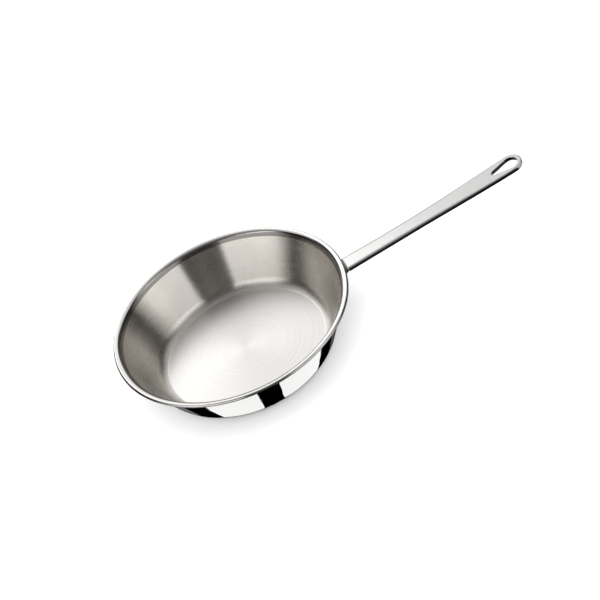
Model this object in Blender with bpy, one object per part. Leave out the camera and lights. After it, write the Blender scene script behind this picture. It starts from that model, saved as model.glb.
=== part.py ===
# Frying pan of three-layer clad steel with a bar handle welded on
# Metres, +Z up, origin at the centre of the underside, handle towards +X

import math

import bmesh
import bpy
from mathutils import Matrix, Vector

# Pan body
RIM_RADIUS = 0.126
PAN_HEIGHT = 0.0578
FLOOR_RADIUS = 0.0855
CORNER_RADIUS = 0.0131
INNER_PLY = 0.0005
CORE_PLY = 0.0010
OUTER_PLY = 0.0005
BOND_GAP = 0.0003

# Lip, measured on its upper face
LIP_BEND = 0.006
LIP_FLAT = 0.0017
LIP_RISE = math.radians(8.0)
LIP_EDGE = 0.0004

# Handle bar, measured on its upper face
HANDLE_LENGTH = 0.206
HANDLE_THICKNESS = 0.0045
HANDLE_ROOT_WIDTH = 0.0198
HANDLE_WAIST_WIDTH = 0.0190
HANDLE_TIP_WIDTH = 0.0247
HANDLE_WAIST = 0.060
HANDLE_SWELL = 0.075
HANDLE_STANDOFF = 0.0024
HANDLE_DROP = 0.0063
HANDLE_RISE = math.radians(8.25)
HANDLE_CURL = math.radians(2.1)
HANDLE_EDGE = 0.0012
HANDLE_UNDER_EDGE = 0.0005

# Hanging slot, a teardrop with its wide end at the handle's tip
SLOT_WIDE_RADIUS = 0.0080
SLOT_NARROW_RADIUS = 0.0029
SLOT_SPACING = 0.0192
SLOT_RUN_UP = 0.006

# Saddle, the curved plate and neck between pan wall and handle bar
SADDLE_WIDTH = 0.044
SADDLE_LENGTH = 0.026
SADDLE_THICKNESS = 0.0020
SADDLE_CORNER = 0.006
NECK_SLOPE = math.radians(38.0)
NECK_MARGIN = 0.003
NECK_EDGE = 0.0008
NECK_SINK = 0.0002
JOINT_GAP = 0.0003

# Welds
SPOT_RADIUS = 0.0028
SPOT_PITCH = 0.031
SPOT_ROWS = 0.012
SPOT_CROWN = 0.0003
SEAM_DEPTH = 0.0016
SEAM_CROWN = 0.0004

# Smoothness of the curves
TURN_STEPS = 72
CORNER_STEPS = 6
LIP_STEPS = 5
EDGE_STEPS = 2
BAR_STATIONS = 8
TIP_STEPS = 16
SLOT_STEPS = 10
NECK_STEPS = 5
SPOT_STEPS = 14
MERGE = 0.000001

SHEET = INNER_PLY + CORE_PLY + OUTER_PLY + 2 * BOND_GAP


# Points and directions in the upright half-section, x outwards and y up

def along(angle):
    return Vector((math.cos(angle), math.sin(angle)))


def arc(centre, radius, start, end, steps):
    angles = [start + (end - start) * i / steps for i in range(steps + 1)]
    return [centre + radius * along(a) for a in angles]


def crossing(point, direction, other, bearing):
    # Where a line through one point meets a line through another
    gap = other - point
    reach = gap.cross(bearing) / direction.cross(bearing)
    return point + direction * reach


# The sheet's section follows from the lip's edge, the floor and the bends between them

LIP_OUT = along(LIP_RISE)
LIP_UP = along(LIP_RISE + math.pi / 2)
EDGE_REACH = (SHEET / 2 - LIP_EDGE) * (math.cos(LIP_RISE) + math.sin(LIP_RISE)) + LIP_EDGE
EDGE_CENTRE = Vector((RIM_RADIUS - EDGE_REACH, PAN_HEIGHT - EDGE_REACH))
LIP_CENTRE = EDGE_CENTRE + LIP_UP * (SHEET / 2 - LIP_BEND) - LIP_OUT * LIP_FLAT
CORNER_CENTRE = Vector((FLOOR_RADIUS, SHEET + CORNER_RADIUS))


def wall_lean():
    # Angle from upright of the straight wall, a tangent to the corner and to the lip's bend
    span = LIP_CENTRE - CORNER_CENTRE
    return math.atan2(span.x, span.y) - math.asin((CORNER_RADIUS + LIP_BEND) / span.length)


WALL_LEAN = wall_lean()
WALL_UP = along(math.pi / 2 - WALL_LEAN)
WALL_OUT = along(-WALL_LEAN)


def wall_point(depth):
    # On the straight wall just under the lip's bend, at a depth below the cooking face
    return LIP_CENTRE - WALL_OUT * (LIP_BEND - depth)


def face_line(depth):
    # Section from the axis to the lip's bend, at a depth below the cooking face
    floor = [Vector((0, SHEET - depth))]
    corner = arc(CORNER_CENTRE, CORNER_RADIUS + depth, -math.pi / 2, -WALL_LEAN, CORNER_STEPS)
    bend = arc(LIP_CENTRE, LIP_BEND - depth, math.pi - WALL_LEAN, math.pi / 2 + LIP_RISE, LIP_STEPS)
    return floor + corner + bend


def edge_line(near, far):
    # The lip's cut edge between two depths, with its corners rounded
    points = []
    for i in range(EDGE_STEPS + 1):
        depth = near + (far - near) * i / EDGE_STEPS
        corner = max(LIP_EDGE - min(depth, SHEET - depth), 0)
        reach = SHEET / 2 - LIP_EDGE + math.sqrt(max(LIP_EDGE ** 2 - corner ** 2, 0))
        points.append(EDGE_CENTRE + LIP_UP * (SHEET / 2 - depth) + LIP_OUT * reach)
    return points


def ply_section(near, far):
    return face_line(near) + edge_line(near, far) + face_line(far)[::-1]


def plug_section(depth):
    # Solid inside of the wall at a depth, carried up past the lip
    rim = wall_point(depth) + WALL_UP * LIP_BEND
    corner = arc(CORNER_CENTRE, CORNER_RADIUS + depth, -WALL_LEAN, -math.pi / 2, CORNER_STEPS)
    return [Vector((0, rim.y)), rim] + corner + [Vector((0, SHEET - depth))]


# Materials

def metal(name, colour, roughness):
    material = bpy.data.materials.new(name)
    material.use_nodes = True
    shader = material.node_tree.nodes["Principled BSDF"]
    shader.inputs["Base Color"].default_value = (*colour, 1)
    shader.inputs["Metallic"].default_value = 1
    shader.inputs["Roughness"].default_value = roughness
    material.diffuse_color = (*colour, 1)
    return material


# Meshes and objects

def finished(name, bm, material=None):
    bmesh.ops.recalc_face_normals(bm, faces=bm.faces)
    mesh = bpy.data.meshes.new(name)
    bm.to_mesh(mesh)
    bm.free()
    mesh.shade_smooth()
    mesh.set_sharp_from_angle(angle=math.radians(35))
    obj = bpy.data.objects.new(name, mesh)
    bpy.context.scene.collection.objects.link(obj)
    if material:
        mesh.materials.append(material)
    else:
        obj.hide_render = True
        obj.display_type = "WIRE"
    return obj


def turned(name, section, material=None, steps=TURN_STEPS, frame=Matrix()):
    # A half-section turned once round the frame's z, its ends on the axis
    bm = bmesh.new()
    ring = [bm.verts.new((p.x, 0, p.y)) for p in section]
    line = [bm.edges.new(pair) for pair in zip(ring, ring[1:])]
    bmesh.ops.spin(bm, geom=ring + line, cent=(0, 0, 0), axis=(0, 0, 1),
                   angle=math.tau, steps=steps)
    bmesh.ops.remove_doubles(bm, verts=bm.verts, dist=MERGE)
    bmesh.ops.transform(bm, matrix=frame, verts=bm.verts)
    return finished(name, bm, material)


def prism(name, outline, frame, depth, rounding=0, material=None):
    # An outline in the frame's x and y, extruded evenly both ways along its z
    bm = bmesh.new()
    base = bm.faces.new([bm.verts.new((p.x, p.y, -depth / 2)) for p in outline])
    side = bmesh.ops.extrude_face_region(bm, geom=[base], use_keep_orig=True)
    moved = [v for v in side["geom"] if isinstance(v, bmesh.types.BMVert)]
    bmesh.ops.translate(bm, verts=moved, vec=(0, 0, depth))
    if rounding:
        rim = [e for e in bm.edges if abs(e.verts[0].co.z - e.verts[1].co.z) < MERGE]
        bmesh.ops.bevel(bm, geom=rim, offset=rounding, segments=2, profile=0.5, affect="EDGES")
    bmesh.ops.transform(bm, matrix=frame, verts=bm.verts)
    return finished(name, bm, material)


def cut(obj, tool, operation="DIFFERENCE"):
    modifier = obj.modifiers.new(tool.name, "BOOLEAN")
    modifier.operation = operation
    modifier.object = tool


def section_frame():
    # Lays an outline drawn in x and y into the upright plane through the handle
    return Matrix(((1, 0, 0, 0), (0, 0, -1, 0), (0, 1, 0, 0), (0, 0, 0, 1)))


def wall_frame(point, bearing=0):
    # On the wall at a bearing, with x around the pan, y up the wall and z outwards
    out = Vector((WALL_OUT.x, 0, WALL_OUT.y))
    up = Vector((WALL_UP.x, 0, WALL_UP.y))
    frame = Matrix((up.cross(out), up, out)).transposed().to_4x4()
    frame.translation = (point.x, 0, point.y)
    return Matrix.Rotation(bearing, 4, "Z") @ frame


def rounded_box(width, height, radius, steps):
    x = width / 2 - radius
    y = height / 2 - radius
    points = []
    for turn, (sx, sy) in enumerate(((1, 1), (-1, 1), (-1, -1), (1, -1))):
        start = turn * math.pi / 2
        points += arc(Vector((sx * x, sy * y)), radius, start, start + math.pi / 2, steps)
    return points


# Handle bar: a curved length, then a straight end that holds the slot

HANDLE_ROOT = Vector((RIM_RADIUS + HANDLE_STANDOFF, PAN_HEIGHT - HANDLE_DROP))
TIP_CENTRE = HANDLE_LENGTH - HANDLE_TIP_WIDTH / 2
SLOT_START = TIP_CENTRE - SLOT_SPACING - SLOT_NARROW_RADIUS
CURVED_LENGTH = SLOT_START - SLOT_RUN_UP


def bar_line(distance):
    # Point and slope of the upper face's centre line at a distance from the root
    curve = CURVED_LENGTH / HANDLE_CURL
    bent = min(distance, CURVED_LENGTH)
    slope = HANDLE_RISE + bent / curve
    x = curve * (math.sin(slope) - math.sin(HANDLE_RISE))
    y = curve * (math.cos(HANDLE_RISE) - math.cos(slope))
    return HANDLE_ROOT + Vector((x, y)) + along(slope) * (distance - bent), slope


def bar_half_width(distance):
    root = (HANDLE_ROOT_WIDTH - HANDLE_WAIST_WIDTH) * max(1 - distance / HANDLE_WAIST, 0) ** 2
    t = min(max((distance - HANDLE_SWELL) / (TIP_CENTRE - HANDLE_SWELL), 0), 1)
    swell = (HANDLE_TIP_WIDTH - HANDLE_WAIST_WIDTH) * t * t * (3 - 2 * t)
    return (HANDLE_WAIST_WIDTH + root + swell) / 2


def on_bar(flat):
    # From a flat bar along x to its place on the pan
    place, slope = bar_line(flat.x)
    place = place + along(slope + math.pi / 2) * flat.z
    return Vector((place.x, flat.y, place.y))


def half_slot():
    # From the slot's narrow end to its wide end, on the side of positive y
    lean = math.asin((SLOT_WIDE_RADIUS - SLOT_NARROW_RADIUS) / SLOT_SPACING)
    narrow = Vector((TIP_CENTRE - SLOT_SPACING, 0))
    wide = Vector((TIP_CENTRE, 0))
    tangent = math.pi / 2 + lean
    start = arc(narrow, SLOT_NARROW_RADIUS, math.pi, tangent, SLOT_STEPS // 2)
    return start + arc(wide, SLOT_WIDE_RADIUS, tangent, 0, SLOT_STEPS)


def half_end():
    # The handle's outline from the curved length's end round to the tip
    steps = BAR_STATIONS // 2
    run = [CURVED_LENGTH + (TIP_CENTRE - CURVED_LENGTH) * i / steps for i in range(steps)]
    sides = [Vector((x, bar_half_width(x))) for x in run]
    return sides + arc(Vector((TIP_CENTRE, 0)), HANDLE_TIP_WIDTH / 2, math.pi / 2, 0, TIP_STEPS // 2)


def bar_outline(bm):
    # Flat upper face as panels: cross strips, then two halves that meet round the slot
    def panel(points):
        bm.faces.new([bm.verts.new((p.x, p.y, 0)) for p in points])

    stops = [CURVED_LENGTH * i / BAR_STATIONS for i in range(BAR_STATIONS + 1)]
    for near, far in zip(stops, stops[1:]):
        corners = [(near, 1), (near, -1), (far, -1), (far, 0), (far, 1)]
        if far != stops[-1]:
            del corners[3]
        panel([Vector((x, side * bar_half_width(x))) for x, side in corners])
    for side in (1, -1):
        half = [Vector((stops[-1], 0))] + half_end() + half_slot()[::-1]
        panel([Vector((p.x, side * p.y)) for p in half])
    bmesh.ops.remove_doubles(bm, verts=bm.verts, dist=MERGE)
    bmesh.ops.recalc_face_normals(bm, faces=bm.faces)


def in_slot(point):
    # Whether a point of the flat bar lies on the slot's wall and not on the bar's outline
    if point.x < SLOT_START - MERGE:
        return False
    reach = math.hypot(max(point.x - TIP_CENTRE, 0), point.y)
    return reach < (SLOT_WIDE_RADIUS + bar_half_width(min(point.x, TIP_CENTRE))) / 2


def handle_bar(material):
    bm = bmesh.new()
    bar_outline(bm)
    body = bmesh.ops.extrude_face_region(bm, geom=list(bm.faces), use_keep_orig=True)
    moved = [v for v in body["geom"] if isinstance(v, bmesh.types.BMVert)]
    bmesh.ops.translate(bm, verts=moved, vec=(0, 0, -HANDLE_THICKNESS))
    bmesh.ops.recalc_face_normals(bm, faces=bm.faces)
    # The upper outer edges are well rounded; the slot's and the underside's are only broken
    outer, others = [], []
    for edge in bm.edges:
        level = abs(edge.verts[0].co.z - edge.verts[1].co.z) < MERGE
        root = max(v.co.x for v in edge.verts) < MERGE
        if level and not root and edge.calc_face_angle() > math.radians(60):
            upper = edge.verts[0].co.z > -MERGE
            slot = all(in_slot(v.co) for v in edge.verts)
            (outer if upper and not slot else others).append(edge)
    for rims, offset in ((outer, HANDLE_EDGE), (others, HANDLE_UNDER_EDGE)):
        bmesh.ops.bevel(bm, geom=rims, offset=offset, segments=2, profile=0.5, affect="EDGES")
    for vertex in bm.verts:
        vertex.co = on_bar(vertex.co)
    return finished("handle_bar", bm, material)


# Saddle: a plate rolled to the wall, with a neck that rises to the bar's root

PLATE_INNER = SHEET + JOINT_GAP
PLATE_OUTER = PLATE_INNER + SADDLE_THICKNESS


def neck_end():
    # Upper and lower corner of the neck's end, a joint's gap short of the bar
    top = HANDLE_ROOT - along(HANDLE_RISE) * JOINT_GAP
    return top, top - along(HANDLE_RISE + math.pi / 2) * HANDLE_THICKNESS


def plate_top():
    # Where the neck's upper face runs into the plate's outer face
    top, _ = neck_end()
    return crossing(top, along(NECK_SLOPE), wall_point(PLATE_OUTER), WALL_UP)


def saddle_centre(depth):
    middle = plate_top() + WALL_UP * (NECK_MARGIN - SADDLE_LENGTH / 2)
    return middle - WALL_OUT * (PLATE_OUTER - depth)


def neck_outline():
    top, under = neck_end()
    heel = saddle_centre(PLATE_OUTER - NECK_SINK) + WALL_UP * (NECK_MARGIN - SADDLE_LENGTH / 2)
    turn = crossing(under, along(HANDLE_RISE), plate_top() + WALL_OUT * NECK_MARGIN, WALL_UP)
    sweep = []
    for i in range(NECK_STEPS + 1):
        t = i / NECK_STEPS
        sweep.append(under * (1 - t) ** 2 + turn * 2 * t * (1 - t) + heel * t * t)
    buried = WALL_OUT * (PLATE_OUTER - SHEET / 2)
    return [plate_top() - buried, top] + sweep + [heel - buried]


def seam_frame():
    # On the underside of the joint between bar and neck, x along the bar and y up
    top, under = neck_end()
    middle = under + along(HANDLE_RISE) * JOINT_GAP / 2
    out = along(HANDLE_RISE)
    frame = Matrix(((out.x, -out.y, 0), (0, 0, -1), (out.y, out.x, 0))).to_4x4()
    frame.translation = (middle.x, 0, middle.y)
    return frame


def seam_groove():
    # Wedge opened on the underside to take the seam weld
    outline = [Vector((-2 * SEAM_DEPTH, -SEAM_DEPTH)), Vector((2 * SEAM_DEPTH, -SEAM_DEPTH)),
               Vector((0, SEAM_DEPTH))]
    return prism("seam_groove", outline, seam_frame(), 2 * SADDLE_WIDTH)


def seam_weld(material):
    # Bead that fills the groove, flat on its flanks and crowned below
    top = SEAM_DEPTH - JOINT_GAP * math.sqrt(2)
    crown = []
    for i in range(NECK_STEPS + 1):
        t = 2 * i / NECK_STEPS - 1
        crown.append(Vector((t * top, -SEAM_CROWN * (1 - t * t))))
    width = 2 * (bar_half_width(0) - HANDLE_UNDER_EDGE)
    return prism("seam_weld", crown + [Vector((0, top))], seam_frame(), width, material=material)


def spot_places():
    # Frames on the wall for the four spot welds, two each side of the neck
    places = []
    for row in (-1, 1):
        level = saddle_centre(PLATE_INNER) + WALL_UP * row * SPOT_ROWS / 2
        bearing = math.asin(SPOT_PITCH / 2 / level.x)
        places += [wall_frame(level, side * bearing) for side in (-1, 1)]
    return places


def spot_section(radius, low, high, crown):
    return [Vector((0, high + crown)), Vector((radius * 0.6, high + crown * 0.6)),
            Vector((radius, high)), Vector((radius, low)), Vector((0, low))]


def handle_saddle(material):
    outline = rounded_box(SADDLE_WIDTH, SADDLE_LENGTH, SADDLE_CORNER, 4)
    blank = prism("handle_saddle", outline, wall_frame(saddle_centre(PLATE_INNER)),
                  4 * SADDLE_THICKNESS + SHEET, material=material)
    neck = prism("saddle_neck", neck_outline(), section_frame(), HANDLE_ROOT_WIDTH, NECK_EDGE)
    cut(blank, turned("saddle_face", plug_section(PLATE_OUTER)), "INTERSECT")
    cut(blank, neck, "UNION")
    cut(blank, turned("saddle_seat", plug_section(PLATE_INNER)))
    hole = spot_section(SPOT_RADIUS + JOINT_GAP, -SHEET, 2 * SADDLE_THICKNESS, 0)
    for i, frame in enumerate(spot_places(), 1):
        cut(blank, turned(f"spot_hole_{i}", hole, steps=SPOT_STEPS, frame=frame))
    return blank


def build():
    for obj in list(bpy.data.objects):
        bpy.data.objects.remove(obj)
    cooking = metal("satin stainless steel", (0.60, 0.59, 0.57), 0.32)
    aluminium = metal("aluminium", (0.82, 0.82, 0.83), 0.40)
    mirror = metal("polished stainless steel", (0.66, 0.66, 0.66), 0.08)
    brushed = metal("brushed stainless steel", (0.64, 0.63, 0.62), 0.25)
    pressed = metal("pressed stainless steel", (0.56, 0.56, 0.56), 0.22)
    nugget = metal("spot weld steel", (0.48, 0.48, 0.48), 0.30)
    bead = metal("seam weld steel", (0.50, 0.50, 0.50), 0.35)
    core = INNER_PLY + BOND_GAP
    outer = core + CORE_PLY + BOND_GAP
    turned("inner_ply", ply_section(0, INNER_PLY), cooking)
    turned("core_ply", ply_section(core, core + CORE_PLY), aluminium)
    turned("outer_ply", ply_section(outer, SHEET), mirror)
    bar = handle_bar(brushed)
    saddle = handle_saddle(pressed)
    spot = spot_section(SPOT_RADIUS, 0, SADDLE_THICKNESS, SPOT_CROWN)
    for i, frame in enumerate(spot_places(), 1):
        turned(f"spot_weld_{i}", spot, nugget, SPOT_STEPS, frame)
    groove = seam_groove()
    cut(bar, groove)
    cut(saddle, groove)
    seam_weld(bead)


build()
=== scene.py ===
import math

import bmesh
import bpy
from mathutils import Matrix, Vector


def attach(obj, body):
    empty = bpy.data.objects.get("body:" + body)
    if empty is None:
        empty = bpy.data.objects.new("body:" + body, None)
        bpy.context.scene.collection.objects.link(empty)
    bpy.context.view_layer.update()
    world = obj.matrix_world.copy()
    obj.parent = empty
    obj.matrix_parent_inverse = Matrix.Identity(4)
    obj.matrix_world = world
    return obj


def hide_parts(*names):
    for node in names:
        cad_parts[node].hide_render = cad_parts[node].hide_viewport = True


# Frying pan of clad steel: satin inside, mirror outside, with a welded bar handle.
# Metres, +Z up, origin at the centre of the underside, handle towards +X.

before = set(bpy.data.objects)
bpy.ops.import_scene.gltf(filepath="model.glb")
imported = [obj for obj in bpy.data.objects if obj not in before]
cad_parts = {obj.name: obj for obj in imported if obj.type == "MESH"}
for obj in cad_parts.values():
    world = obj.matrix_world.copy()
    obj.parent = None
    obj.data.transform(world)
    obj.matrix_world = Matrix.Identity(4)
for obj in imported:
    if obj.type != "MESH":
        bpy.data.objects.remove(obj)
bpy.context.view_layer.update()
bpy.context.scene.view_settings.view_transform = "Standard"
mergeGap = 1e-6    # vertices closer than this become one
print("frame loaded")


def hexColour(code):
    # sRGB hex to the linear colour that the shaders take
    parts = [int(code[i:i + 2], 16) / 255 for i in (0, 2, 4)]
    return tuple(c / 12.92 if c <= 0.04045 else ((c + 0.055) / 1.055) ** 2.4 for c in parts) + (1.0,)


def along(degrees):
    # direction in the pan's upright section, outwards and up
    return Vector((math.cos(math.radians(degrees)), math.sin(math.radians(degrees))))


def arc(centre, radius, start, end, steps):
    return [centre + radius * along(start + (end - start) * i / steps) for i in range(steps + 1)]


def deselectAll():
    if bpy.context.object and bpy.context.object.mode != "OBJECT":
        bpy.ops.object.mode_set(mode="OBJECT")
    bpy.ops.object.select_all(action="DESELECT")


def activate(obj):
    deselectAll()
    obj.select_set(True)
    bpy.context.view_layer.objects.active = obj


def applyModifier(obj, kind, **settings):
    activate(obj)
    modifier = obj.modifiers.new(kind.title(), kind)
    for key, value in settings.items():
        setattr(modifier, key, value)
    bpy.ops.object.modifier_apply(modifier=modifier.name)


def drawLine(name, points):
    # one vertex pulled along the points, as a profile is drawn for a spin
    deselectAll()
    bpy.ops.mesh.primitive_plane_add(size=0.001, location=points[0])
    obj = bpy.context.object
    obj.name = name
    obj.data.name = name
    bpy.ops.object.transform_apply(location=True, rotation=True, scale=True)
    bpy.ops.object.mode_set(mode="EDIT")
    bpy.ops.mesh.select_mode(type="VERT")
    bpy.ops.mesh.select_all(action="SELECT")
    bpy.ops.mesh.merge(type="CENTER")
    for here, there in zip(points, points[1:]):
        bpy.ops.mesh.extrude_region_move(TRANSFORM_OT_translate={"value": tuple(there - here)})
    return obj


def spinSection(name, section, steps):
    # a profile in the x and z plane turned round the pan's axis into a closed solid
    obj = drawLine(name, [Vector((p.x, 0, p.y)) for p in section])
    bpy.ops.mesh.select_all(action="SELECT")
    bpy.ops.mesh.spin(steps=steps, angle=2 * math.pi, center=(0, 0, 0), axis=(0, 0, 1))
    bpy.ops.mesh.select_all(action="SELECT")
    bpy.ops.mesh.remove_doubles(threshold=mergeGap)
    bpy.ops.mesh.normals_make_consistent(inside=False)
    bpy.ops.object.mode_set(mode="OBJECT")
    return obj


def smooth(obj, degrees):
    activate(obj)
    bpy.ops.object.shade_smooth_by_angle(angle=math.radians(degrees))


def finishPiece(obj, material, slotName, *nodes):
    # the piece takes its material, rides on the pan and stands for its nodes
    obj.data.materials.clear()
    obj.data.materials.append(material)
    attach(obj, "root")
    if nodes:
        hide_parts(*nodes)
    print("piece", obj.name, len(obj.data.polygons), "faces")


def addNode(tree, kind, settings=None, inputs=None, links=None):
    # one node with its settings, its input values, and what each input is linked from
    node = tree.nodes.new(kind)
    for key, value in (settings or {}).items():
        setattr(node, key, value)
    for key, value in (inputs or {}).items():
        node.inputs[key].default_value = value
    for key, source in (links or {}).items():
        tree.links.new(source, node.inputs[key])
    return node


# The camera stands at the photograph's viewing angle, turned as it is.

cameraView = {
    "place": (0.03969, -0.93695, 0.83818),
    "turn": (46.9264, 17.1907, -17.3609),     # degrees
    "lens": 72.04,
}
deselectAll()
bpy.ops.object.camera_add(location=cameraView["place"],
                          rotation=[math.radians(a) for a in cameraView["turn"]])
camera = bpy.context.object
camera.name = "camera"
camera.data.lens = cameraView["lens"]
camera.data.clip_start = 0.05
camera.data.clip_end = 50
bpy.context.scene.camera = camera
print("camera placed")


# The clad sheet, as the frame has it.

sheet = {
    "rimRadius": 0.12598, "height": 0.0578, "floorRadius": 0.0855, "cornerRadius": 0.0131,
    "thickness": 0.0026, "innerFace": 0.00065, "outerFace": 0.00195,    # depths where the layers meet
    "lipBend": 0.006, "lipFlat": 0.0017, "lipRise": 8.0, "lipEdge": 0.0004, "lipRound": 0.0019,
    "floorTurn": 7.0,    # how far the floor's finish runs up the corner, in degrees
    "rolledLow": 0.0026, "rolledTurn": 134.0,    # the painted crease shade runs along the rolling line: from below the bend, to this turn of it
    "baseSkin": 0.00005,    # faces lower than this are the flat base
    "turnSteps": 288, "cornerSteps": 24, "bendSteps": 20, "edgeSteps": 60, "edgeStride": 6,
}

lipOut = along(sheet["lipRise"])
lipUp = along(sheet["lipRise"] + 90)
half = sheet["thickness"] / 2
edgeFlat = half - sheet["lipEdge"]
edgeReach = edgeFlat * (lipOut.x + lipOut.y) + sheet["lipEdge"]
edgeCentre = Vector((sheet["rimRadius"] - edgeReach, sheet["height"] - edgeReach))
lipCentre = edgeCentre + lipUp * (half - sheet["lipBend"]) - lipOut * sheet["lipFlat"]
cornerCentre = Vector((sheet["floorRadius"], sheet["thickness"] + sheet["cornerRadius"]))
span = lipCentre - cornerCentre
wallLean = math.degrees(math.atan2(span.x, span.y)
                        - math.asin((sheet["cornerRadius"] + sheet["lipBend"]) / span.length))
wallUp = along(90 - wallLean)
wallOut = along(-wallLean)


def faceLine(depth):
    # from the axis to the lip, at a depth below the cooking face
    floor = [Vector((r * sheet["floorRadius"], sheet["thickness"] - depth)) for r in (0, 0.04, 0.35, 0.7)]
    corner = arc(cornerCentre, sheet["cornerRadius"] + depth, -90, -wallLean, sheet["cornerSteps"])
    bend = arc(lipCentre, sheet["lipBend"] - depth, 180 - wallLean, 90 + sheet["lipRise"],
               sheet["bendSteps"])
    wall = [corner[-1].lerp(bend[0], t) for t in (0.25, 0.5, 0.75)] + [bend[0] - wallUp * sheet["rolledLow"]]
    return floor + corner + wall + bend


def edgeDepth(point):
    return half - (point - edgeCentre).dot(lipUp)


def edgeLine(near, far):
    # the lip's cut edge between two depths: well rounded above, and only broken below
    points = []
    for side, radius in ((1, sheet["lipRound"]), (-1, sheet["lipEdge"])):
        corner = edgeCentre + lipUp * (half - radius) * side + lipOut * (half - radius)
        start = sheet["lipRise"] + (90 if side > 0 else 0)
        points += arc(corner, radius, start, start - 90, sheet["edgeSteps"])
    ends = [min(points, key=lambda point: abs(edgeDepth(point) - depth)) for depth in (near, far)]
    inside = [p for p in points if near + 1e-5 < edgeDepth(p) < far - 1e-5]
    return ends[:1] + inside[::sheet["edgeStride"]] + ends[1:]


def spinLayer(name, near, far):
    section = faceLine(near) + edgeLine(near, far) + faceLine(far)[::-1]
    obj = spinSection(name, section, sheet["turnSteps"])
    smooth(obj, 40)
    return obj


# The metals.

upTheWall, roundTheRing = 0.25, 0.0    # which way turned metal stretches a highlight

def steelShader(name, colour, roughness, anisotropic=0.0, rotation=None):
    # metal: no diffuse light, the default IOR, and a finish that comes from how it was ground
    material = bpy.data.materials.new(name)
    material.use_nodes = True
    tree = material.node_tree
    shader = tree.nodes["Principled BSDF"]
    shader.inputs["Base Color"].default_value = hexColour(colour)
    shader.inputs["Metallic"].default_value = 1
    shader.inputs["Roughness"].default_value = roughness
    shader.inputs["Anisotropic"].default_value = anisotropic
    if rotation is not None:
        shader.inputs["Anisotropic Rotation"].default_value = rotation
        turning = addNode(tree, "ShaderNodeTangent", {"direction_type": "RADIAL", "axis": "Z"})
        tree.links.new(turning.outputs["Tangent"], shader.inputs["Tangent"])
    return material, tree, shader


def ringPlace(tree, spacing, stretch):
    # where a point lies in the turning pattern: in steps of spacing, in mm, out and up along the section,
    # and slowly round the pan, so that noise drawn there runs in rings
    place = addNode(tree, "ShaderNodeTexCoord")
    parts = addNode(tree, "ShaderNodeSeparateXYZ", links={0: place.outputs["Object"]})
    flat = addNode(tree, "ShaderNodeCombineXYZ", links={"X": parts.outputs["X"], "Y": parts.outputs["Y"]})
    reach = addNode(tree, "ShaderNodeVectorMath", {"operation": "LENGTH"}, links={0: flat.outputs[0]})
    way = addNode(tree, "ShaderNodeVectorMath", {"operation": "NORMALIZE"}, links={0: flat.outputs[0]})
    path = addNode(tree, "ShaderNodeMath", {"operation": "ADD"},
                   links={0: reach.outputs["Value"], 1: parts.outputs["Z"]})
    rings = addNode(tree, "ShaderNodeMath", {"operation": "MULTIPLY"}, {1: 1000 / spacing},
                    {0: path.outputs[0]})
    around = addNode(tree, "ShaderNodeVectorMath", {"operation": "SCALE"}, {"Scale": stretch},
                     {0: way.outputs[0]})
    rise = addNode(tree, "ShaderNodeCombineXYZ", links={"Z": rings.outputs[0]})
    where = addNode(tree, "ShaderNodeVectorMath", {"operation": "ADD"},
                    links={0: around.outputs[0], 1: rise.outputs[0]})
    return where.outputs[0]


def plainPlace(tree, size, length=None, slope=0.0):
    # object coordinates in steps of size, in mm, and of length along the pan's handle, turned by its slope
    place = addNode(tree, "ShaderNodeTexCoord")
    where = addNode(tree, "ShaderNodeMapping",
                    inputs={"Rotation": (0, math.radians(slope), 0),
                            "Scale": (1000 / (length or size), 1000 / size, 1000 / size)},
                    links={"Vector": place.outputs["Object"]})
    return where.outputs[0]


# Bare stainless steel is a light grey, faintly warm where it is brushed. Patterns are sized in mm, relief is
# in metres, and around says how fast a turned pattern changes round the pan
finishes = {
    "wall": {"colour": "C9C5BF", "dull": "C0BCB6", "roughness": 0.275, "vary": 0.012, "anisotropic": 1.0,
             "grain": 1.1, "around": 0.9, "mottle": 34.0, "relief": 0.000002},
    "floor": {"colour": "E3E2E0", "dull": "DCDAD7", "roughness": 0.31, "vary": 0.02, "anisotropic": 0.5,
              "rings": 2.2, "around": 0.4, "scratches": 0.9, "scratchesAround": 5.0, "relief": 0.000006},
    "lip": {"colour": "E2E0DD", "roughness": 0.13, "anisotropic": 0.3, "grain": 1.5, "around": 3.0},
    # the rolled colour is painted shade: a dark band in the crease where the wall turns into the lip
    "rolled": {"colour": "7C7976", "roughness": 0.27, "anisotropic": 0.9, "grain": 1.2, "around": 3.0},
    "outside": {"colour": "DDDCDA", "roughness": 0.03, "waves": 26.0, "around": 2.6, "smears": 17.0,
                "relief": 0.00012},
    "underside": {"colour": "D6D4D0", "roughness": 0.26, "anisotropic": 0.5, "rings": 1.6, "around": 0.5,
                  "relief": 0.00003},
    "bar": {"colour": "CFCFCE", "dull": "C6C6C5", "roughness": 0.24, "vary": 0.03, "grain": 0.7,
            "length": 26.0},
    "barEdge": {"colour": "DAD9D8", "roughness": 0.10, "grain": 4.0},
    "saddle": {"colour": "D3D2D0", "roughness": 0.17, "grain": 5.0},
    "weld": {"colour": "C8C6C3", "tint": "B9A88C", "roughness": 0.27, "grain": 1.4, "relief": 0.00004},
    "aluminium": {"colour": "A6A6A8", "roughness": 0.20, "grain": 0.8},
}


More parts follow.
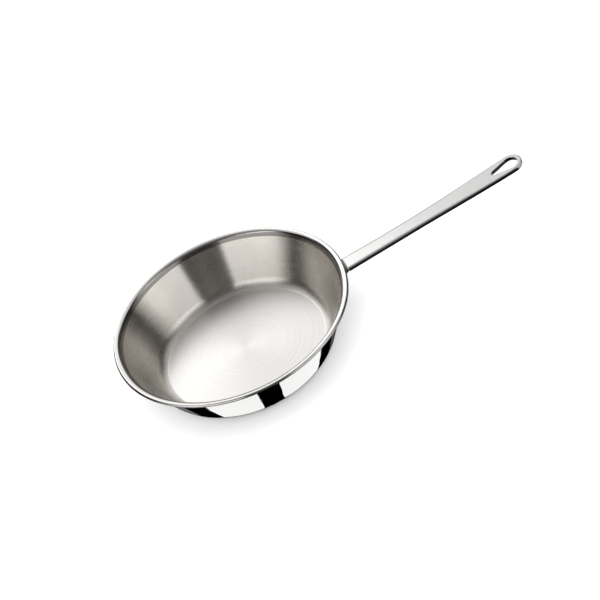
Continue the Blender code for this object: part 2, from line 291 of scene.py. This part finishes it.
def makeWallSteel():
    # stainless steel belt-ground round the pan: a satin face whose highlights stretch up the wall.
    # The grain is drawn at 1.1 mm, coarser than the real grit marks, so that it shows
    look = finishes["wall"]
    material, tree, shader = steelShader("satin wall stainless steel", look["colour"], look["roughness"],
                                         look["anisotropic"], upTheWall)
    grain = addNode(tree, "ShaderNodeTexNoise", inputs={"Scale": 1.0, "Detail": 3.0, "Roughness": 0.6},
                    links={"Vector": ringPlace(tree, look["grain"], look["around"])})
    mottle = addNode(tree, "ShaderNodeTexNoise", inputs={"Scale": 1.0, "Detail": 2.0, "Roughness": 0.5},
                     links={"Vector": plainPlace(tree, look["mottle"])})
    both = addNode(tree, "ShaderNodeMath", {"operation": "MULTIPLY_ADD"}, {1: 0.35},
                   {0: grain.outputs["Fac"], 2: mottle.outputs["Fac"]})
    rough = addNode(tree, "ShaderNodeMapRange",
                    inputs={"From Min": 0.45, "From Max": 0.9, "To Min": look["roughness"] - look["vary"],
                            "To Max": look["roughness"] + look["vary"]}, links={"Value": both.outputs[0]})
    tree.links.new(rough.outputs[0], shader.inputs["Roughness"])
    share = addNode(tree, "ShaderNodeMapRange", inputs={"From Min": 0.5, "From Max": 0.85},
                    links={"Value": both.outputs[0]})
    tone = addNode(tree, "ShaderNodeMix", {"data_type": "RGBA"},
                   {6: hexColour(look["dull"]), 7: hexColour(look["colour"])}, {0: share.outputs[0]})
    tree.links.new(tone.outputs[2], shader.inputs["Base Color"])
    relief = addNode(tree, "ShaderNodeBump", inputs={"Distance": look["relief"], "Strength": 1.0},
                     links={"Height": grain.outputs["Fac"]})
    tree.links.new(relief.outputs[0], shader.inputs["Normal"])
    return material


def makeFloorSteel():
    # stainless steel spun under an abrasive pad: fine rings round the middle, and hairline marks across them
    look = finishes["floor"]
    material, tree, shader = steelShader("spun floor stainless steel", look["colour"], look["roughness"],
                                         look["anisotropic"], upTheWall)
    rings = addNode(tree, "ShaderNodeTexNoise", inputs={"Scale": 1.0, "Detail": 4.0, "Roughness": 0.65},
                    links={"Vector": ringPlace(tree, look["rings"], look["around"])})
    marks = addNode(tree, "ShaderNodeTexNoise", inputs={"Scale": 1.0, "Detail": 1.0, "Roughness": 0.5},
                    links={"Vector": ringPlace(tree, look["scratches"], look["scratchesAround"])})
    hairline = addNode(tree, "ShaderNodeMapRange", inputs={"From Min": 0.66, "From Max": 0.74},
                       links={"Value": marks.outputs["Fac"]})
    rough = addNode(tree, "ShaderNodeMapRange",
                    inputs={"From Min": 0.3, "From Max": 0.7, "To Min": look["roughness"] - look["vary"],
                            "To Max": look["roughness"] + look["vary"]}, links={"Value": rings.outputs["Fac"]})
    tree.links.new(rough.outputs[0], shader.inputs["Roughness"])
    share = addNode(tree, "ShaderNodeMapRange", inputs={"From Min": 0.32, "From Max": 0.62},
                    links={"Value": rings.outputs["Fac"]})
    worn = addNode(tree, "ShaderNodeMath", {"operation": "MULTIPLY_ADD", "use_clamp": True}, {1: -0.6},
                   {0: hairline.outputs[0], 2: share.outputs[0]})
    tone = addNode(tree, "ShaderNodeMix", {"data_type": "RGBA"},
                   {6: hexColour(look["dull"]), 7: hexColour(look["colour"])}, {0: worn.outputs[0]})
    tree.links.new(tone.outputs[2], shader.inputs["Base Color"])
    relief = addNode(tree, "ShaderNodeBump", inputs={"Distance": look["relief"], "Strength": 1.0},
                     links={"Height": rings.outputs["Fac"]})
    tree.links.new(relief.outputs[0], shader.inputs["Normal"])
    return material


def makeTurnedSteel(name, look, rotation):
    # stainless steel finished while it turns: roughness that varies slowly round the pan
    material, tree, shader = steelShader(name, look["colour"], look["roughness"], look["anisotropic"], rotation)
    grain = addNode(tree, "ShaderNodeTexNoise", inputs={"Scale": 1.0, "Detail": 2.0, "Roughness": 0.5},
                    links={"Vector": ringPlace(tree, look["grain"], look["around"])})
    rough = addNode(tree, "ShaderNodeMapRange",
                    inputs={"From Min": 0.3, "From Max": 0.7, "To Min": look["roughness"] * 0.9,
                            "To Max": look["roughness"] * 1.1}, links={"Value": grain.outputs["Fac"]})
    tree.links.new(rough.outputs[0], shader.inputs["Roughness"])
    return material


def makeMirrorSteel():
    # mirror-buffed stainless steel: all but clear reflections, with the faint waves of the spun sheet
    # and dull smears where the buff passed
    look = finishes["outside"]
    material, tree, shader = steelShader("mirror-polished stainless steel", look["colour"], look["roughness"])
    smears = addNode(tree, "ShaderNodeTexNoise", inputs={"Scale": 1.0, "Detail": 3.0, "Roughness": 0.6},
                     links={"Vector": plainPlace(tree, look["smears"])})
    rough = addNode(tree, "ShaderNodeMapRange",
                    inputs={"From Min": 0.45, "From Max": 0.75, "To Min": look["roughness"] * 0.7,
                            "To Max": look["roughness"] * 2.0}, links={"Value": smears.outputs["Fac"]})
    tree.links.new(rough.outputs[0], shader.inputs["Roughness"])
    waves = addNode(tree, "ShaderNodeTexNoise", inputs={"Scale": 1.0, "Detail": 0.0},
                    links={"Vector": ringPlace(tree, look["waves"], look["around"])})
    relief = addNode(tree, "ShaderNodeBump", inputs={"Distance": look["relief"], "Strength": 1.0},
                     links={"Height": waves.outputs["Fac"]})
    tree.links.new(relief.outputs[0], shader.inputs["Normal"])
    return material


def makeUndersideSteel():
    # stainless steel faced off in rings where the pan stands on the hob
    look = finishes["underside"]
    material, tree, shader = steelShader("faced underside stainless steel", look["colour"], look["roughness"],
                                         look["anisotropic"], upTheWall)
    rings = addNode(tree, "ShaderNodeTexNoise", inputs={"Scale": 1.0, "Detail": 3.0, "Roughness": 0.6},
                    links={"Vector": ringPlace(tree, look["rings"], look["around"])})
    rough = addNode(tree, "ShaderNodeMapRange",
                    inputs={"From Min": 0.3, "From Max": 0.7, "To Min": look["roughness"] * 0.75,
                            "To Max": look["roughness"] * 1.25}, links={"Value": rings.outputs["Fac"]})
    tree.links.new(rough.outputs[0], shader.inputs["Roughness"])
    relief = addNode(tree, "ShaderNodeBump", inputs={"Distance": look["relief"], "Strength": 1.0},
                     links={"Height": rings.outputs["Fac"]})
    tree.links.new(relief.outputs[0], shader.inputs["Normal"])
    return material


def makeBarSteel():
    # stainless steel bar, satin-ground along its length. The grain is drawn at 0.7 mm, so that it shows
    look = finishes["bar"]
    material, tree, shader = steelShader("satin bar stainless steel", look["colour"], look["roughness"])
    grain = addNode(tree, "ShaderNodeTexNoise", inputs={"Scale": 1.0, "Detail": 3.0, "Roughness": 0.6},
                    links={"Vector": plainPlace(tree, look["grain"], look["length"],
                                                bar["rise"] + bar["curl"] / 2)})
    rough = addNode(tree, "ShaderNodeMapRange",
                    inputs={"From Min": 0.3, "From Max": 0.7, "To Min": look["roughness"] - look["vary"],
                            "To Max": look["roughness"] + look["vary"]}, links={"Value": grain.outputs["Fac"]})
    tree.links.new(rough.outputs[0], shader.inputs["Roughness"])
    share = addNode(tree, "ShaderNodeMapRange", inputs={"From Min": 0.3, "From Max": 0.65},
                    links={"Value": grain.outputs["Fac"]})
    tone = addNode(tree, "ShaderNodeMix", {"data_type": "RGBA"},
                   {6: hexColour(look["dull"]), 7: hexColour(look["colour"])}, {0: share.outputs[0]})
    tree.links.new(tone.outputs[2], shader.inputs["Base Color"])
    return material


def makePolishedSteel(name, look):
    # stainless steel polished by hand: bright, with soft uneven patches left by the wheel
    material, tree, shader = steelShader(name, look["colour"], look["roughness"])
    patches = addNode(tree, "ShaderNodeTexNoise", inputs={"Scale": 1.0, "Detail": 3.0, "Roughness": 0.6},
                      links={"Vector": plainPlace(tree, look["grain"])})
    rough = addNode(tree, "ShaderNodeMapRange",
                    inputs={"From Min": 0.35, "From Max": 0.7, "To Min": look["roughness"] * 0.75,
                            "To Max": look["roughness"] * 1.35}, links={"Value": patches.outputs["Fac"]})
    tree.links.new(rough.outputs[0], shader.inputs["Roughness"])
    return material, tree, shader, patches.outputs["Fac"]


def makeWeldSteel():
    # weld metal: a touch darker than the sheet, straw-coloured here and there by its heat
    look = finishes["weld"]
    material, tree, shader, patches = makePolishedSteel("weld metal", look)
    share = addNode(tree, "ShaderNodeMapRange", inputs={"From Min": 0.5, "From Max": 0.7},
                    links={"Value": patches})
    tone = addNode(tree, "ShaderNodeMix", {"data_type": "RGBA"},
                   {6: hexColour(look["colour"]), 7: hexColour(look["tint"])}, {0: share.outputs[0]})
    tree.links.new(tone.outputs[2], shader.inputs["Base Color"])
    relief = addNode(tree, "ShaderNodeBump", inputs={"Distance": look["relief"], "Strength": 0.6},
                     links={"Height": patches})
    tree.links.new(relief.outputs[0], shader.inputs["Normal"])
    return material


# The sheet's three layers.

wallSteel = makeWallSteel()
floorSteel = makeFloorSteel()
lipSteel = makeTurnedSteel("polished lip stainless steel", finishes["lip"], roundTheRing)
# the line where the lip was rolled over is painted darker than the faces beside it: painted shade in the crease
# under the lip
creaseShadeSteel = makeTurnedSteel("painted crease shade stainless steel", finishes["rolled"], upTheWall)
mirrorSteel = makeMirrorSteel()
undersideSteel = makeUndersideSteel()
coreAluminium = makePolishedSteel("ground aluminium", finishes["aluminium"])[0]

innerSkin = spinLayer("cookingSkin", 0, sheet["innerFace"])
finishPiece(innerSkin, wallSteel, "cooking_steel", "inner_ply")
innerSkin.data.materials.append(floorSteel)
innerSkin.data.materials.append(lipSteel)
innerSkin.data.materials.append(creaseShadeSteel)
floorTop = (cornerCentre + along(-90 + sheet["floorTurn"]) * sheet["cornerRadius"]).y
rolledFrom = (lipCentre + along(180 - wallLean) * sheet["lipBend"] - wallUp * sheet["rolledLow"]).y
rolledTo = (lipCentre + along(sheet["rolledTurn"]) * sheet["lipBend"]).y
# floor faces take the floor finish, the lip its polished finish, and the band at the crease the painted crease
# shade
for face in innerSkin.data.polygons:
    if face.center.z < floorTop:
        face.material_index = 1
    elif face.center.z > rolledFrom:
        face.material_index = 2 if face.center.z > rolledTo else 3
coreSkin = spinLayer("aluminiumCore", sheet["innerFace"], sheet["outerFace"])
finishPiece(coreSkin, coreAluminium, "core_aluminium", "core_ply")
outerSkin = spinLayer("mirrorSkin", sheet["outerFace"], sheet["thickness"])
finishPiece(outerSkin, mirrorSteel, "outer_steel", "outer_ply")
outerSkin.data.materials.append(undersideSteel)
for face in outerSkin.data.polygons:
    if face.center.z < sheet["baseSkin"] and math.hypot(face.center.x, face.center.y) < sheet["floorRadius"]:
        face.material_index = 1


# The handle bar: a flat strip, thickened, slotted, rounded and bent to its line.

bar = {
    "length": 0.20595, "thickness": 0.0045, "rootWidth": 0.0198, "waistWidth": 0.0190, "tipWidth": 0.0247,
    "waist": 0.060, "swell": 0.075, "standoff": 0.00242, "drop": 0.0063, "rise": 8.25, "curl": 2.1,
    "slotWide": 0.0080, "slotNarrow": 0.0029, "slotSpacing": 0.0192, "slotRunUp": 0.006,
    # the upper edges are rounded much wider than deep, so the bar is drawn this many times too high, then
    # pressed flat
    "stretch": 3.4,
    "rootEdge": 0.0024, "neckEdge": 0.0046, "neck": 0.022, "waistEdge": 0.0036, "tipEdge": 0.0022,
    "underEdge": 0.0010, "slotEdge": 0.0004,
    "stations": 44, "sideSteps": 12, "tipSteps": 18, "slotSteps": 16, "edgeSteps": 7,
    "lineSteps": 60,
}

barRoot = Vector((sheet["rimRadius"] + bar["standoff"], sheet["height"] - bar["drop"]))
tipCentre = bar["length"] - bar["tipWidth"] / 2
slotStart = tipCentre - bar["slotSpacing"] - bar["slotNarrow"]
curvedLength = slotStart - bar["slotRunUp"]


def halfWidth(distance):
    root = (bar["rootWidth"] - bar["waistWidth"]) * max(1 - distance / bar["waist"], 0) ** 2
    t = min(max((distance - bar["swell"]) / (tipCentre - bar["swell"]), 0), 1)
    return (bar["waistWidth"] + root + (bar["tipWidth"] - bar["waistWidth"]) * t * t * (3 - 2 * t)) / 2


def barLine(distance):
    # point and slope of the bar's upper face at a distance from its root
    radius = curvedLength / math.radians(bar["curl"])
    start = math.radians(bar["rise"])
    bent = min(distance, curvedLength)
    slope = start + bent / radius
    reach = Vector((math.sin(slope) - math.sin(start), math.cos(start) - math.cos(slope))) * radius
    return barRoot + reach + along(math.degrees(slope)) * (distance - bent), slope


def drawStrip(name, stations):
    # half of a flat strip: its first rung, from the middle line out, is pulled on and widened to each station
    x, wide = stations[0]
    obj = drawLine(name, [Vector((x, 0, 0)), Vector((x, wide, 0))])
    bpy.ops.mesh.select_all(action="SELECT")
    for nextX, nextWide in stations[1:]:
        bpy.ops.mesh.extrude_region_move(TRANSFORM_OT_translate={"value": (nextX - x, 0, 0)})
        bpy.ops.transform.resize(value=(1, nextWide / wide, 1), center_override=(0, 0, 0))
        x, wide = nextX, nextWide
    bpy.ops.object.mode_set(mode="OBJECT")
    return obj


def drawPanel(name, points):
    # a flat face inside a closed line
    obj = drawLine(name, points + points[:1])
    bpy.ops.mesh.select_all(action="SELECT")
    bpy.ops.mesh.remove_doubles(threshold=mergeGap)
    bpy.ops.mesh.edge_face_add()
    bpy.ops.object.mode_set(mode="OBJECT")
    return obj


def headOutline():
    # half of the bar's end: out along its side, round the tip, and back round the slot
    steps = bar["sideSteps"]
    side = [curvedLength + (tipCentre - curvedLength) * i / steps for i in range(steps)]
    points = [Vector((curvedLength, 0))] + [Vector((x, halfWidth(x))) for x in side]
    middle = Vector((tipCentre, 0))
    points += arc(middle, bar["tipWidth"] / 2, 90, 0, bar["tipSteps"])
    lean = math.degrees(math.asin((bar["slotWide"] - bar["slotNarrow"]) / bar["slotSpacing"]))
    points += arc(middle, bar["slotWide"], 0, 90 + lean, bar["slotSteps"])
    points += arc(middle - Vector((bar["slotSpacing"], 0)), bar["slotNarrow"], 90 + lean, 180,
                  bar["slotSteps"] // 2)
    return [Vector((p.x, p.y, 0)) for p in points]


def barEdge(middle):
    # how far each long edge is rounded: broadest past the root, tighter along the blade, even round the tip
    if middle.x < mergeGap:
        return 0
    if middle.x > slotStart - 1e-5 and abs(middle.y) < halfWidth(min(middle.x, tipCentre)) * 0.8:
        if math.hypot(middle.x - tipCentre, middle.y) < bar["slotWide"] * 1.05 or middle.x < tipCentre:
            return bar["slotEdge"]
    if middle.z < -bar["thickness"] / 2:
        return bar["underEdge"]
    stops = [(0, bar["rootEdge"]), (bar["neck"], bar["neckEdge"]), (curvedLength * 0.8, bar["waistEdge"]),
             (tipCentre, bar["tipEdge"]), (1, bar["tipEdge"])]
    for (here, near), (there, far) in zip(stops, stops[1:]):
        if middle.x <= there:
            return near + (far - near) * (middle.x - here) / (there - here)


def makeBar():
    tall = bar["thickness"] * bar["stretch"]
    rungs = [curvedLength * i / bar["stations"] for i in range(bar["stations"] + 1)]
    obj = drawStrip("handleBar", [(x, halfWidth(x)) for x in rungs])
    head = drawPanel("barHead", headOutline())
    activate(obj)
    head.select_set(True)
    bpy.ops.object.join()
    applyModifier(obj, "MIRROR", use_axis=(False, True, False), merge_threshold=mergeGap)
    bpy.ops.object.mode_set(mode="EDIT")
    bpy.ops.mesh.select_all(action="SELECT")
    bpy.ops.mesh.remove_doubles(threshold=mergeGap)
    bpy.ops.mesh.extrude_region_move(TRANSFORM_OT_translate={"value": (0, 0, -tall)})
    bpy.ops.mesh.select_all(action="SELECT")
    bpy.ops.mesh.normals_make_consistent(inside=False)
    bpy.ops.object.mode_set(mode="OBJECT")
    obj.data.attributes.new("bevel_weight_edge", "FLOAT", "EDGE")
    bm = bmesh.new()
    bm.from_mesh(obj.data)
    weight = bm.edges.layers.float["bevel_weight_edge"]
    for edge in bm.edges:
        level = abs(edge.verts[0].co.z - edge.verts[1].co.z) < mergeGap
        if level and edge.calc_face_angle(0) > math.radians(60):
            edge[weight] = barEdge((edge.verts[0].co + edge.verts[1].co) / 2) / bar["neckEdge"]
    bm.to_mesh(obj.data)
    bm.free()
    applyModifier(obj, "BEVEL", limit_method="WEIGHT", width=bar["neckEdge"], segments=bar["edgeSteps"],
                  use_clamp_overlap=False)
    bpy.ops.object.mode_set(mode="EDIT")
    bpy.ops.mesh.select_all(action="SELECT")
    bpy.ops.transform.resize(value=(1, 1, 1 / bar["stretch"]), center_override=(0, 0, 0))
    bpy.ops.object.mode_set(mode="OBJECT")
    # the bar follows a drawn line from its root to its tip
    places = [barLine(curvedLength * i / bar["lineSteps"])[0] for i in range(bar["lineSteps"] + 1)]
    places.append(barLine(bar["length"])[0])
    line = bpy.data.curves.new("barLine", "CURVE")
    line.dimensions = "3D"
    line.twist_mode = "Z_UP"
    spline = line.splines.new("POLY")
    spline.points.add(len(places) - 1)
    for point, place in zip(spline.points, places):
        point.co = (place.x, 0, place.y, 1)
    guide = bpy.data.objects.new("barLine", line)
    bpy.context.scene.collection.objects.link(guide)
    applyModifier(obj, "CURVE", object=guide, deform_axis="POS_X")
    bpy.data.objects.remove(guide)
    smooth(obj, 50)
    applyModifier(obj, "WEIGHTED_NORMAL", keep_sharp=True)
    return obj


handle = makeBar()
finishPiece(handle, makeBarSteel(), "handle_steel", "handle_bar")
handle.data.materials.append(makePolishedSteel("polished bar edge stainless steel", finishes["barEdge"])[0])
for face in handle.data.polygons:
    if abs(face.normal.z) < 0.6:
        face.material_index = 1


# The saddle: a plate rolled to the wall, with the neck that carries the bar.

saddle = {
    "gap": 0.0003, "thickness": 0.0020, "length": 0.026, "neckSlope": 38.0, "neckMargin": 0.003,
    "grain": 0.00038, "smoothTurns": 7,    # size of the remeshed faces, and how often they are evened out
}


def makeSaddle():
    # the frame's own saddle, copied, remeshed evenly and smoothed until its pressed edges are round
    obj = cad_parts["handle_saddle"].copy()
    obj.data = obj.data.copy()
    obj.name = "saddlePlate"
    obj.data.name = "saddlePlate"
    obj.parent = None
    bpy.context.scene.collection.objects.link(obj)
    activate(obj)
    bpy.ops.object.mode_set(mode="EDIT")
    bpy.ops.mesh.select_all(action="SELECT")
    bpy.ops.mesh.remove_doubles(threshold=mergeGap)
    bpy.ops.object.mode_set(mode="OBJECT")
    applyModifier(obj, "REMESH", mode="VOXEL", voxel_size=saddle["grain"], use_smooth_shade=True)
    applyModifier(obj, "SMOOTH", factor=0.5, iterations=saddle["smoothTurns"])
    return obj


saddlePlate = makeSaddle()
finishPiece(saddlePlate, makePolishedSteel("pressed stainless steel", finishes["saddle"])[0], "saddle_steel",
            "handle_saddle")


# Spot welds: shallow dished marks, each filling its hole in the saddle.

spot = {"radius": 0.00305, "pitch": 0.031, "rows": 0.012, "rise": 0.00015, "dish": 0.00035, "turnSteps": 40}


def wallPoint(depth):
    return lipCentre - wallOut * (sheet["lipBend"] - depth)


def crossing(point, direction, other, bearing):
    gap = other - point
    reach = gap.cross(bearing) / direction.cross(bearing)
    return point + direction * reach


plateInner = sheet["thickness"] + saddle["gap"]
plateOuter = plateInner + saddle["thickness"]
neckTop = barRoot - along(bar["rise"]) * saddle["gap"]
plateTop = crossing(neckTop, along(saddle["neckSlope"]), wallPoint(plateOuter), wallUp)
plateMiddle = (plateTop + wallUp * (saddle["neckMargin"] - saddle["length"] / 2)
               - wallOut * saddle["thickness"])


def makeSpots():
    # one plug, spun standing on the z axis, and copied to its four places on the wall
    r, high, rise = spot["radius"], saddle["thickness"], spot["rise"]
    section = [(0, high - spot["dish"]), (0.35, high - spot["dish"] * 0.95), (0.62, high - spot["dish"] * 0.4),
               (0.78, high + rise * 0.8), (0.86, high + rise), (0.94, high + rise * 0.5),
               (1, high - rise * 0.8), (1, 0), (0, 0)]
    first = spinSection("spotWeld1", [Vector((x * r, z)) for x, z in section], spot["turnSteps"])
    smooth(first, 60)
    plugs = [first]
    for i in (2, 3, 4):
        plug = first.copy()
        plug.data = first.data.copy()
        plug.name = plug.data.name = "spotWeld%d" % i
        bpy.context.scene.collection.objects.link(plug)
        plugs.append(plug)
    for plug, (row, side) in zip(plugs, ((-1, -1), (-1, 1), (1, -1), (1, 1))):
        level = plateMiddle + wallUp * row * spot["rows"] / 2
        activate(plug)
        plug.rotation_euler = (0, math.radians(90 + wallLean), 0)
        plug.location = (level.x, 0, level.y)
        bpy.ops.object.transform_apply(location=True, rotation=True, scale=True)
        plug.rotation_euler = (0, 0, side * math.asin(spot["pitch"] / 2 / level.x))
        bpy.ops.object.transform_apply(location=True, rotation=True, scale=True)
    return plugs


weldSteel = makeWeldSteel()
for i, plug in enumerate(makeSpots(), 1):
    finishPiece(plug, weldSteel, "weld_steel", "spot_weld_%d" % i)


# The seam weld: a rippled bead across the underside, where the bar meets the neck.

seam = {"halfWidth": 0.0011, "crown": 0.00055, "ripple": 0.00085, "squeeze": 0.84, "across": 0.0174,
        "arcSteps": 8}


def makeSeam():
    under = neckTop - along(bar["rise"] + 90) * bar["thickness"] + along(bar["rise"]) * saddle["gap"] / 2

    def place(u, v):
        p = under + along(bar["rise"]) * u + along(bar["rise"] + 90) * v
        return Vector((p.x, -seam["across"] / 2, p.y))

    points = []
    for i in range(seam["arcSteps"] + 1):
        t = 2 * i / seam["arcSteps"] - 1
        points.append(place(t * seam["halfWidth"], -seam["crown"] * (1 - t * t)))
    points.append(place(0, seam["halfWidth"]))
    obj = drawPanel("seamBead", points)
    bpy.ops.object.mode_set(mode="EDIT")
    bpy.ops.mesh.select_mode(type="FACE")
    bpy.ops.mesh.select_all(action="SELECT")
    turns = round(seam["across"] / seam["ripple"]) * 2
    for i in range(turns):
        bpy.ops.mesh.extrude_region_move(TRANSFORM_OT_translate={"value": (0, seam["across"] / turns, 0)})
        scale = seam["squeeze"] if i % 2 == 0 else 1 / seam["squeeze"]
        bpy.ops.transform.resize(value=(scale, 1, scale), center_override=(under.x, 0, under.y))
    bpy.ops.mesh.select_all(action="SELECT")
    bpy.ops.mesh.normals_make_consistent(inside=False)
    bpy.ops.object.mode_set(mode="OBJECT")
    applyModifier(obj, "SUBSURF", levels=1, render_levels=1)
    smooth(obj, 70)
    return obj


finishPiece(makeSeam(), weldSteel, "weld_steel", "seam_weld")
print("pieces made")


# The studio: a pale floor lit by an even sky, and cards that only show in the metal.

studio = {
    "floorColour": "F0F0F0", "skyOnFloor": 1.9, "roomInMetal": 0.05, "reach": 3.0, "floorSize": 12,
    # cards standing round the pan: azimuth from the camera's side, then elevation, in degrees, strength,
    # and the share of the card over which it fades out at its left, right and lower edge
    "standing": {
        "leftBox": (-90, -18, -3, 48, 2.0, 0.28, 0, 0),
        "rightBox": (26, 91, -3, 48, 1.9, 0, 0.33, 0),
        "frontFlag": (-18, 26, -20, 22, 0.03, 0, 0, 0),
        "frontHigh": (-18, 26, 22, 66, 0.14, 0, 0, 0),
        "leftFlag": (-115, -90, -8, 60, 0.0, 0, 0, 0),
        "rightFlag": (91, 111, -8, 60, 0.0, 0, 0, 0),
        "leftWall": (-150, -115, -8, 20, 0.12, 0, 0, 0),
        "rightWall": (111, 150, -8, 20, 0.10, 0, 0, 0),
        "backFlag": (150, 186, -12, 6, 0.12, 0, 0, 0),
        "backLow": (186.5, 208, -14, 6, 0.9, 0, 0, 0),
        "backBoxRight": (147, 182.5, 6, 50, 1.1, 0.2, 0, 0.35),
        "backBoxLeft": (183, 209, 6, 50, 2.05, 0, 0.25, 0.35),
    },
    # cards overhead: x and y as a share of their height, and strength
    "overhead": {
        "overheadBack": (-0.8, 0.8, 0.36, 0.82, 0.75),
        "overheadTop": (-0.8, 0.8, -0.1, 0.36, 0.30),
        "overheadFront": (-0.5, 0.5, -0.8, -0.1, 0.10),
    },
    # cards lying under the floor, for the outside of the wall: x and y as a share of their depth, and
    # strength
    "lying": {
        "underCentre": (-0.07, 0.088, -0.34, 0.34, 0.0),
        "underBack": (-0.25, 0.25, 0.42, 1.25, 0.0),
        "underLeft": (-0.5, -0.07, -0.34, 0.34, 1.2),
        "underRight": (0.088, 0.5, -0.34, 0.425, 1.2),
        "underFront": (-1.2, 1.2, -2.4, -0.345, 0.01),
        "underLeftFlag": (-0.6, -0.25, 0.345, 0.655, 0.0),
        "underRightFlag": (0.25, 0.6, 0.43, 0.72, 0.0),
        "underLeftSide": (-1.4, -0.25, 0.66, 1.25, 0.16),
        "underFarLeft": (-4.0, -1.4, -2.4, 1.25, 0.45),
        "underFarRight": (1.4, 4.0, -2.4, 1.25, 0.45),
        "underFarBack": (-4.0, 4.0, 1.25, 4.0, 0.45),
        "underRightSide": (0.22, 1.4, 0.73, 1.25, 0.12),
    },
}


def emissive(name, strength, sampling, fades):
    material = bpy.data.materials.new(name)
    material.use_nodes = True
    tree = material.node_tree
    tree.nodes.remove(tree.nodes["Principled BSDF"])
    glow = addNode(tree, "ShaderNodeEmission", inputs={"Strength": strength})
    if any(fades):
        # light that falls off towards the card's edges, read from its own UV map
        place = addNode(tree, "ShaderNodeTexCoord")
        parts = addNode(tree, "ShaderNodeSeparateXYZ", links={0: place.outputs["UV"]})
        level = None
        for axis, edge, share in (("X", 0, fades[0]), ("X", 1, fades[1]), ("Y", 0, fades[2])):
            if share:
                ramp = addNode(tree, "ShaderNodeMapRange",
                               inputs={"From Min": edge, "From Max": abs(edge - share),
                                       "To Max": level or strength},
                               links={"Value": parts.outputs[axis]})
                if level:
                    ramp = addNode(tree, "ShaderNodeMath", {"operation": "MULTIPLY"}, None,
                                   {0: ramp.outputs[0], 1: last})
                last, level = ramp.outputs[0], 1.0
        tree.links.new(last, glow.inputs["Strength"])
    tree.links.new(glow.outputs[0], tree.nodes["Material Output"].inputs["Surface"])
    material.cycles.emission_sampling = sampling
    return material


def reflectionCard(name, place, turn, width, height, strength, sampling="AUTO", fades=(0, 0, 0)):
    # a card that the camera and the floor don't see
    deselectAll()
    bpy.ops.mesh.primitive_plane_add(size=1, location=place, rotation=turn)
    card = bpy.context.object
    card.name = name
    card.scale = (width, height, 1)
    bpy.ops.object.transform_apply(location=True, rotation=True, scale=True)
    card.data.materials.append(emissive(name, strength, sampling if strength else "NONE", fades))
    card.visible_camera = False
    card.visible_diffuse = False
    card.visible_shadow = False


def standingCard(name, fromAzimuth, toAzimuth, low, high, strength, *fades):
    middle = math.radians((fromAzimuth + toAzimuth) / 2)
    halfSpan = math.radians(toAzimuth - fromAzimuth) / 2
    reach = studio["reach"] * math.cos(halfSpan)
    bottom, top = (studio["reach"] * math.tan(math.radians(e)) for e in (low, high))
    place = (reach * math.sin(middle), -reach * math.cos(middle), (bottom + top) / 2)
    reflectionCard(name, place, (math.radians(90), 0, middle), 2 * reach * math.tan(halfSpan),
                   top - bottom, strength, "AUTO", fades)


def levelCard(name, height, left, right, near, far, strength):
    depth = abs(height)
    place = ((left + right) / 2 * depth, (near + far) / 2 * depth, height)
    sampling = "AUTO" if height > 0 else "NONE"
    reflectionCard(name, place, (0, 0, 0), (right - left) * depth, (far - near) * depth, strength, sampling)


deselectAll()
bpy.ops.mesh.primitive_plane_add(size=studio["floorSize"], location=(0, 0, 0))
floor = bpy.context.object
floor.name = "floor"
floorMaterial = bpy.data.materials.new("pale floor")
floorMaterial.use_nodes = True
floorShader = floorMaterial.node_tree.nodes["Principled BSDF"]
floorShader.inputs["Base Color"].default_value = hexColour(studio["floorColour"])
floorShader.inputs["Roughness"].default_value = 1
floorShader.inputs["Specular IOR Level"].default_value = 0
floor.data.materials.append(floorMaterial)
floor.visible_glossy = False

world = bpy.data.worlds.new("studio")
bpy.context.scene.world = world
world.use_nodes = True
world.cycles.sampling_method = "NONE"
tree = world.node_tree
background = tree.nodes["Background"]
path = addNode(tree, "ShaderNodeLightPath")
room = addNode(tree, "ShaderNodeMix", {"data_type": "FLOAT"},
               {"A": studio["skyOnFloor"], "B": studio["roomInMetal"]}, {"Factor": path.outputs["Is Glossy Ray"]})
tree.links.new(room.outputs[0], background.inputs["Strength"])
background.inputs["Color"].default_value = (1, 1, 1, 1)

for name, values in studio["standing"].items():
    standingCard(name, *values)
for name, values in studio["overhead"].items():
    levelCard(name, studio["reach"], *values)
for name, values in studio["lying"].items():
    levelCard(name, -studio["reach"], *values)
print("studio lit")
